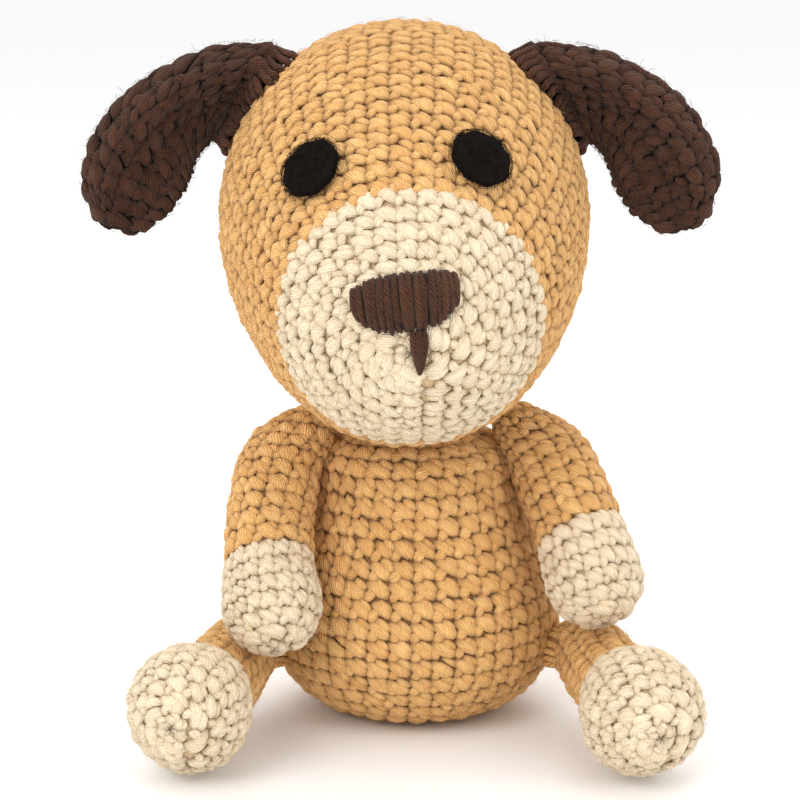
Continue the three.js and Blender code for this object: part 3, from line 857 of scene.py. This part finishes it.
# %% Measuring a limb
def limb_fabric(nodes, limb, side, pull):
    """Measures a limb, drawn in at its sewn end, and says how far from the tip its rows are."""
    line = smooth_line(limb["lines"][side])
    paw, top, front = limb["paw"], limb["top"], np.array(limb["front"])
    run = np.concatenate([[0], np.cumsum(np.linalg.norm(np.diff(line, axis=0), axis=1))])
    total = run[-1]

    def middle(distance):
        return np.array([np.interp(distance, run, line[:, axis]) for axis in range(3)])

    def row(distance, polar, pole):
        """A ring of rays from a place on the line, tipped towards a pole by its polar angle."""
        heading = unit(middle(min(distance + 2, total)) - middle(max(distance - 2, 0)))
        forward = unit(front - heading * (front @ heading))
        ring = ring_directions(forward, np.cross(heading, forward))
        return middle(distance), ring * math.sin(polar) + pole * heading * math.cos(polar)

    rows = [row(paw, angle, -1) for angle in PAW_ANGLES]
    distances = [paw] * len(rows)
    for distance in np.linspace(paw, total - top, 20):
        rows.append(row(distance, math.pi / 2, 1))
        distances.append(distance)
    for angle in np.linspace(math.pi / 2, SEWN_END, 9)[1:]:
        rows.append(row(total - top, angle, 1))
        distances.append(total)
    bases, directions = zip(*rows)
    points = measured(nodes, np.array(bases), np.array(directions), LIMB_REACH)
    rim = points[-1].mean(axis=0)
    ahead = unit(line[-1] - line[-20])
    domed = [top * (math.cos(share * SEWN_END) - math.cos(SEWN_END)) for share in CLOSING]
    closing = [rim + (points[-1] - rim) * share + ahead * rise for share, rise in zip(CLOSING, domed)]
    points = np.concatenate([points, closing])
    distances = distances + [total] * len(closing)
    near = np.linalg.norm(points - line[-1], axis=-1, keepdims=True) / SEWN_REACH
    points = points + pull * (1 - np.minimum(near, 1)) ** 2 * (1 + 2 * np.minimum(near, 1))
    return Fabric(points), np.array(distances)


# %% Making the limbs
# where each limb's paw is round and its sewn end starts, where the yarn changes, which way its front
# faces, and how far the sewing draws its end in
LIMBS = {
    "arm": {"end": "paw", "lines": ARM_LINES, "paw": 12.0, "top": 8.5, "change": 23.0,
            "front": (0, -1.0, 0), "pull": (6.5, 0, 2.2)},
    "leg": {"end": "foot", "lines": LEG_LINES, "paw": 14.6, "top": 8.2, "change": 26.5,
            "front": (0, 0, 1.0), "pull": (4.0, 0.5, 0)},
}


def make_limb(kind, side, inward):
    """Crochets a limb: a pale paw or foot, then a tan sleeve, and fills it."""
    limb = LIMBS[kind]
    end = f"{kind}_{limb['end']}_{side}"
    sleeve = f"{kind}_sleeve_{side}"
    body = f"{kind}_{side}"
    fabric, distances = limb_fabric([sleeve, end], limb, side, limb["pull"] * inward)
    past = len(PAW_ANGLES)
    change = float(np.interp(limb["change"], distances[past:], fabric.along[past:]))
    worked(end, fabric, 0, change, LIMB_GAUGE, CREAM, body, end, (False, True))
    worked(sleeve, fabric, change, fabric.length, LIMB_GAUGE, TAN, body, sleeve, (True, False))
    stuffed(fabric, f"{body}_stuffing", body, f"{kind}_filling_{side}")


for side, inward in (("left", 1), ("right", -1)):
    for kind in LIMBS:
        make_limb(kind, side, np.array([inward, 1, 1]))

# %% [markdown]
# ## The ears
# An ear is a leaf of brown crochet, worked from its tip, pressed flat and folded lengthways so that
# its upper half stands forward and its lower half sinks back into shade. A leaf this thin can't be
# measured with rays from its middle, so it is described by the pairs of places where its two edges
# are, from the head out to the tip.

# %% Ears
EAR_MIDDLE, EAR_DEPTH, EAR_FORWARD = -3.2, -3.0, 6.0
EAR_HALF_THICKNESS = 2.5
EAR_SOFTENING = 4  # how often its rim is evened out
EAR_SEAT = 0.3  # how far above the head's surface the sewn end stops
EAR_LOOSE, EAR_FUZZ = 1.3, 60  # its stitches are less even than the rest, and it is hairier
# upper edge (out from the middle, height), lower edge (the same), and how deeply it is folded
EAR_STATIONS = [
    (28.2, 154.2, 42.0, 130.9, 0.8), (42.6, 152.8, 44.4, 128.2, 1), (55.0, 147.4, 45.8, 125.4, 1),
    (63.6, 140.7, 46.8, 122.0, 0.9), (68.8, 132.8, 48.8, 118.6, 0.75), (71.0, 124.6, 51.6, 115.2, 0.55),
    (69.2, 116.8, 55.8, 112.6, 0.35),
]
RIDGE = {"height": 5.2, "place": 0.45, "width": 0.42}
HOLLOW = {"height": -3.6, "place": -0.4, "width": 0.42}


def relief(across):
    """How far forward the leaf stands, from its lower edge at -1 to its upper edge at 1."""
    folds = (RIDGE, HOLLOW)
    return sum(f["height"] * np.exp(-(((across - f["place"]) / f["width"]) ** 2)) for f in folds)


def evened(rows):
    """The same loops, with their places evenly spread round each."""
    closed = np.concatenate([rows, rows[:, :1]], axis=1)
    steps = np.linalg.norm(np.diff(closed, axis=1), axis=-1)
    runs = np.concatenate([np.zeros((len(rows), 1)), np.cumsum(steps, axis=1)], axis=1)
    spread = [np.linspace(0, run[-1], TURNS, endpoint=False) for run in runs]
    return np.array([
        np.stack([np.interp(at, run, loop[:, axis]) for axis in range(3)], axis=1)
        for at, run, loop in zip(spread, runs, closed)
    ])


# %% The rows of an ear
def ear_fabric(side):
    """The rows of an ear, from its tip to the head, each round both faces."""
    stations = smooth_line(EAR_STATIONS, 8)[::-1]
    angle = np.linspace(0, 2 * np.pi, TURNS, endpoint=False)
    across = np.sign(np.sin(angle)) * np.abs(np.sin(angle)) ** 0.65
    front = np.cos(angle)
    rows = []
    last = len(stations) - 1
    for i, (upper_out, upper_z, lower_out, lower_z, fold) in enumerate(stations):
        forward = EAR_DEPTH - EAR_FORWARD * (last - i) / last
        out = lower_out + (upper_out - lower_out) * (across + 1) / 2
        height = lower_z + (upper_z - lower_z) * (across + 1) / 2
        plump = np.sign(front) * np.abs(front) ** PLUMPNESS
        depth = forward - relief(across) * fold - EAR_HALF_THICKNESS * plump
        rows.append(np.stack([EAR_MIDDLE + side * out, depth, height], axis=-1))
    rows = np.array(rows)
    skull = node_tree_of(["head_shell"])
    hits = [skull.find_nearest(Vector(place)) for place in rows[-1]]
    sewn = np.array([hit[0] + hit[1] * EAR_SEAT for hit in hits])
    between = (rows[-1] + sewn) / 2
    rows = np.concatenate([rows, [between, sewn]])
    tip = rows[0].mean(axis=0)
    slide = unit(rows[0].mean(axis=0) - rows[2].mean(axis=0)) * EAR_HALF_THICKNESS
    cap = []
    for angle in np.linspace(0, 1.4, 6):
        cap.append(tip + slide + (rows[0] - tip - slide * (1 - math.cos(angle))) * math.sin(angle))
    rows = evened(np.concatenate([np.array(cap), rows]))
    for _ in range(EAR_SOFTENING):
        rows = (np.roll(rows, 1, axis=1) + 2 * rows + np.roll(rows, -1, axis=1)) / 4
    return Fabric(rows if side > 0 else rows[:, (-np.arange(TURNS)) % TURNS])


# %% Crochet the ears
ears = {}
for name, side in (("left", -1), ("right", 1)):
    ears[name] = ear = ear_fabric(side)
    rider = f"ear_{name}"
    inward = Vector(unit(ear.points[-1].mean(axis=0) - ear.points[-6].mean(axis=0)))
    pieces = [
        crochet(ear, 0, ear.length, EAR_GAUGE, EAR_LOOSE).made(f"ear_stitches_{name}", BROWN, None, [rider]),
        # 0.9: the ear's ground is painted nearly all the way into shade
        core(ear, 1.6, 0.15, 0.9).made(f"ear_ground_{name}", BROWN, None),
        fuzz(ear, 0, ear.length, EAR_FUZZ, 2.0, 0.5).made(f"ear_fuzz_{name}", BROWN, None),
    ]
    for piece in pieces:
        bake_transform(piece)

# %% [markdown]
# ## The nose and the mouth
# The nose is satin stitch: one strand beside another, each from the top edge of a half-moon over the
# snout to its lower edge, over a first layer that pads it out. The mouth is one long stitch below it,
# whose strands draw together where the needle goes in.

# %% Nose and mouth
NOSE = {"half_width": 12.4, "rise": 3.9, "fall": 7.2, "middle": -0.3, "height": 36.9}
NOSE_TILT = math.radians(6)  # the nose's +X end is the higher one
NOSE_CURVE = 2.6  # 2 makes its edges half ellipses, and more makes its ends fuller
MOUTH = {"across": 1.9, "top": 29.6, "bottom": 20.2, "half_width": 1.05}


def on_snout(across, height, lift):
    """Places above the snout's ball, by how far across and how high on it they are."""
    turn = across / SNOUT_RADIUS
    pitch = (height - SNOUT_CENTRE[2]) / SNOUT_RADIUS
    flat = np.cos(pitch)
    direction = np.stack([np.sin(turn) * flat, -np.cos(turn) * flat, np.sin(pitch)], axis=-1)
    return leaned(direction * (SNOUT_RADIUS + lift)[..., None] + SNOUT_CENTRE) + NECK


def dome(skein, to_place, outline, profile, depth=0.4):
    """A closed pad: its outline drawn in by each share of the profile, at each height. Depth is painted
    shade.
    """
    rows = [to_place(outline[:, 0] * share, outline[:, 1] * share, np.full(len(outline), lift))
            for share, lift in profile]
    faces = skin_faces(len(rows), len(outline), [(0, True), (len(rows) - 1, False)])
    add_rows(skein, np.array(rows), faces, depth)


def on_nose(across, up, lift):
    """Places over the nose, by how far along its tilt and how far above its middle they are."""
    cosine, sine = math.cos(NOSE_TILT), math.sin(NOSE_TILT)
    level = NOSE["middle"] + across * cosine - up * sine
    return on_snout(level, NOSE["height"] + across * sine + up * cosine, lift)


def from_snout(paths):
    """The way out of the snout at each place."""
    return unit(paths - leaned(SNOUT_CENTRE) - NECK)


# %% Satin stitch
def nose():
    """A pad and two layers of satin stitch over it."""
    skein = Skein()
    part = np.linspace(-1, 1, 21)
    bow = np.sqrt(1 - np.abs(part) ** NOSE_CURVE)
    low = np.stack([part, -NOSE["fall"] * bow], axis=1)
    high = np.stack([part, NOSE["rise"] * bow], axis=1)[1:-1][::-1]
    outline = np.concatenate([low, high]) * [NOSE["half_width"], 1]
    profile = [(0.88, 0.2), (0.95, 0.5), (0.92, 1.1), (0.8, 1.5), (0.55, 1.7), (0.1, 1.8)]
    # 0.8: the pad under the strands is painted most of the way into shade
    dome(skein, on_nose, outline, profile, 0.8)
    for count, lift, slant in ((15, 1.35, 0.9), (16, 2.0, -0.7)):
        across = np.linspace(-1, 1, count + 2)[1:-1, None] + draw.normal(0, 0.014, (count, 1))
        bow = np.sqrt(1 - np.abs(across) ** NOSE_CURVE)
        part = np.linspace(0, 1, 13)[None]
        top, bottom = NOSE["rise"] * bow + 0.35, NOSE["fall"] * bow + 0.2
        up = top - (top + bottom) * part + draw.normal(0, 0.12, (count, 1))
        lean = slant + draw.normal(0, 0.35, (count, 1))
        sideways = across * NOSE["half_width"] * (1.0 - 0.1 * part) + lean * (part - 0.5)
        over = 0.1 + lift * (0.5 + 0.5 * bow) * np.sin(np.pi * part) ** 0.45
        paths = on_nose(sideways, up, over + draw.normal(0, 0.14, (count, 1)))
        lay_strands(skein, paths, 0.86, 0.74, from_snout(paths))
    return skein


def mouth():
    """Three strands that draw together at the lower end."""
    skein = Skein()
    part = np.linspace(0, 1, 16)[None]
    shift = np.array([[-1.0], [1.0], [0.0]]) * MOUTH["half_width"]
    across = MOUTH["across"] + shift * (1 - 0.85 * part ** 2) + 0.12 * np.sin(5 * part + shift)
    height = MOUTH["top"] + (MOUTH["bottom"] - MOUTH["top"]) * part + 0 * across
    over = 0.25 + np.array([[0.6], [0.55], [1.0]]) * np.sin(np.pi * part) ** 0.4
    paths = on_snout(across, height, over)
    lay_strands(skein, paths, 1.0 * (1 - 0.55 * part ** 2), 0.8 * (1 - 0.4 * part), from_snout(paths))
    return skein


nose().made("nose_satin", BROWN, "head", ["nose_stitches"])
mouth().made("mouth_strands", BROWN, "head", ["mouth_stitch"])

# %% [markdown]
# ## The eyes
# Each eye is a disc cut from black wool felt with small scissors, so its edge is a little faceted.
# Felt is fibres pressed together: it has no weave, its face is matt and uneven, and short fibres
# stand along the cut. The discs lie on the head, at their cut size.

# %% Felt eyes
def black_felt():
    """Pressed black wool."""
    material, start = new_material("black_felt")
    place = start.make("ShaderNodeTexCoord", output="Object")
    clump = start.noise(place, 900.0, 3.0)
    fibre = start.noise(place, 3800.0, 3.0, 0.7)
    paint = start.mixed(0.6 * clump + 0.4 * fibre, colour(8, 7, 6), colour(34, 28, 24))
    nap = start.bump(1.0, 0.3, 0.5 * clump + 0.5 * fibre)
    start.surface({
        "Base Color": paint, "Roughness": 0.85 + 0.15 * fibre, "Normal": nap, "Specular IOR Level": 0.08,
    })
    return material


FELT = black_felt()
EYE_RADIUS, EYE_CUTS = 6.6, 8
EYE_CORNERS, EYE_HAIRS = 64, 1500
# share of the radius, height above the seat
EYE_PROFILE = [(0.95, 0.0), (0.99, 0.4), (1.0, 0.9), (0.97, 1.35), (0.9, 1.6), (0.7, 1.75), (0.45, 1.8),
               (0.2, 1.75), (0.05, 1.75)]


# %% Cutting and laying the discs
def node_points(name):
    """The corners of a frame node, in millimetres."""
    return np.array([vertex.co for vertex in frame["nodes"][name].data.vertices]) / MM


def eye(name):
    """A felt disc where the frame's disc lies, and the fibres that stand on it."""
    points = node_points(f"eye_felt_{name}")
    centre = points.mean(axis=0)
    axes = np.linalg.svd(points - centre)[2]
    outward = axes[2] * np.sign(axes[2] @ (centre - leaned(SKULL_CENTRE) - NECK))
    level = unit(np.cross(np.array([0, 0, 1.0]), outward))
    upright = np.cross(outward, level)
    seat = centre - outward * ((centre - points) @ outward).max()
    angle = np.linspace(0, 2 * np.pi, EYE_CORNERS, endpoint=False)
    ragged = 1 + 0.025 * np.cos(EYE_CUTS * angle + 1) + draw.normal(0, 0.008, EYE_CORNERS)
    outline = EYE_RADIUS * (ragged * np.array([np.cos(angle), np.sin(angle)])).T

    def to_place(x, y, lift):
        place = seat + x[:, None] * level + y[:, None] * upright + lift[:, None] * outward
        return place + outward * knobbly(place, 1.5, 0.08)[:, None]

    disc = Skein()
    dome(disc, to_place, outline, EYE_PROFILE)
    cloth = disc.made(f"eye_disc_{name}", FELT, "head", [f"eye_felt_{name}"])
    pile = Skein()
    reach = EYE_RADIUS * np.minimum(np.sqrt(draw.uniform(0, 1.5, EYE_HAIRS)), 1)
    way = draw.uniform(0, 2 * np.pi, EYE_HAIRS)
    roots = to_place(reach * np.cos(way), reach * np.sin(way), 1.65 - 0.5 * (reach / EYE_RADIUS) ** 6)
    radial = np.cos(way)[:, None] * level + np.sin(way)[:, None] * upright
    normals = unit(outward + radial * (reach / EYE_RADIUS)[:, None] ** 4 * 1.5)
    scatter_hairs(pile, roots, normals, 1.1, 0.6, 0.04)
    hairs = pile.made(f"eye_pile_{name}", FELT, "head")


for name in ("left", "right"):
    eye(name)

# %% [markdown]
# ## The sewing
# The pieces are joined with whip stitch: the needle goes through both edges again and again, so the
# yarn lies over the join in short slanting bars. The neck has a ring of them, each shoulder and hip
# a tight knot of them, and each ear a row along its sewn end, front and back.

# %% Whip stitches
NECK_RING = {"middle": 12.8, "half_width": 2.3, "height": -1.5, "half_height": 2.4, "bars": 44}
NECK_CORE = [(0.8, -3.9), (0.98, -3.2), (1.06, -1.5), (0.98, 0.2), (0.8, 0.9)]  # share of radius, height
EAR_BARS = 15
BAR_REACH = 1.4  # how far the bars of a knot go in at both ends


def neck_whip():
    """Bars of yarn round a ring between the body and the head, in the head's own frame."""
    skein = Skein()
    count = NECK_RING["bars"]
    start = np.linspace(0, 2 * np.pi, count, endpoint=False)[:, None]
    part = np.linspace(0, 2 * np.pi, 17)[None]
    radius = NECK_RING["middle"] + NECK_RING["half_width"] * np.cos(part)
    height = NECK_RING["height"] + NECK_RING["half_height"] * np.sin(part)
    angle = start + part / (count * 1.1) + draw.normal(0, 0.02, (count, 1))
    paths = np.stack([radius * np.sin(angle), -radius * np.cos(angle), height + 0 * angle], axis=-1)
    middle = NECK_RING["middle"] * np.stack([np.sin(start), -np.cos(start)], axis=-1)
    centre = np.concatenate([middle, np.full((count, 1, 1), NECK_RING["height"])], axis=-1)
    lay_strands(skein, leaned(paths) + NECK, 1.05, 0.6, unit(leaned(paths - centre)))
    angle = np.linspace(0, 2 * np.pi, 48, endpoint=False)
    outline = np.stack([np.sin(angle), -np.cos(angle)], axis=1) * NECK_RING["middle"]
    # 0.5: the core under the bars is painted halfway into shade
    dome(skein, lambda x, y, z: leaned(np.stack([x, y, z], axis=-1)) + NECK, outline, NECK_CORE, 0.5)
    return skein


# %% Knots at the shoulders and hips
def knot_whip(node, bars, wide):
    """Bars of yarn across the gap between the body and a limb, round a tight core."""
    skein = Skein()
    points = node_points(node)
    centre = (points.min(axis=0) + points.max(axis=0)) / 2
    outward = unit(centre * np.array([1, 1, 0]))
    depth = (points - centre) @ outward
    upright = np.array([0, 0, 1.0])
    level = np.cross(upright, outward)
    radius = ((points - centre) @ upright).max() - wide
    angle = np.linspace(0, 2 * np.pi, bars, endpoint=False)[:, None] + draw.normal(0, 0.05, (bars, 1))
    part = np.linspace(0, 1, 9)[None]
    twisted = angle + 0.35 * (part - 0.5)
    ring = np.cos(twisted)[..., None] * level + np.sin(twisted)[..., None] * upright
    reach = depth.min() - BAR_REACH + (depth.max() - depth.min() + 2 * BAR_REACH) * part
    paths = centre + ring * radius + reach[..., None] * outward
    lay_strands(skein, paths, wide, wide, unit(ring))
    line = centre + reach[..., None] * outward
    # depth 0.6: the core under the bars is painted more than halfway into shade
    lay_strands(skein, line, radius, radius, upright[None, None], around=16, depth=0.6)
    return skein


# %% Bars along the ears
def ear_whip(name):
    """Short bars of yarn from an ear's sewn end onto the head, on its front and on its back."""
    skein = Skein()
    fabric = ears[name]
    skull = node_tree_of(["head_shell"])
    for first, last in ((0.03, 0.47), (0.53, 0.97)):
        turns = np.linspace(first, last, EAR_BARS) + draw.normal(0, 0.004, EAR_BARS)
        near = fabric.place(np.full(EAR_BARS, fabric.length - 2.6), turns, np.full(EAR_BARS, -0.6))
        rim = np.full(EAR_BARS, fabric.length - 0.8)
        edge = fabric.place(rim, turns + 0.014, np.full(EAR_BARS, 0.2))
        inside = fabric.place(rim, turns + 0.014, np.full(EAR_BARS, -2.5))
        away = unit(edge - inside)
        found = [skull.find_nearest(Vector(place)) for place in edge + away * 0.9]
        landing = np.array([hit[0] for hit in found])
        normal = np.array([hit[1] for hit in found])
        knots = [near, edge, landing + normal * 0.2, landing - normal * 1.4]
        paths = np.array([smooth_line([knot[i] for knot in knots], 4) for i in range(EAR_BARS)])
        lay_strands(skein, paths, 0.95, 0.75, away[:, None])
    return skein


# %% Sew the pieces together
neck_whip().made("neck_whip", TAN, "neck", ["neck_seam"])
for name in ("left", "right"):
    for kind, bars, wide in (("shoulder", 12, 0.6), ("hip", 14, 0.7)):
        seam = f"{kind}_seam_{name}"
        knot_whip(seam, bars, wide).made(f"{kind}_whip_{name}", TAN, "body", [seam])
    ear_whip(name).made(f"ear_whip_{name}", BROWN, "head", [f"ear_seam_{name}"])
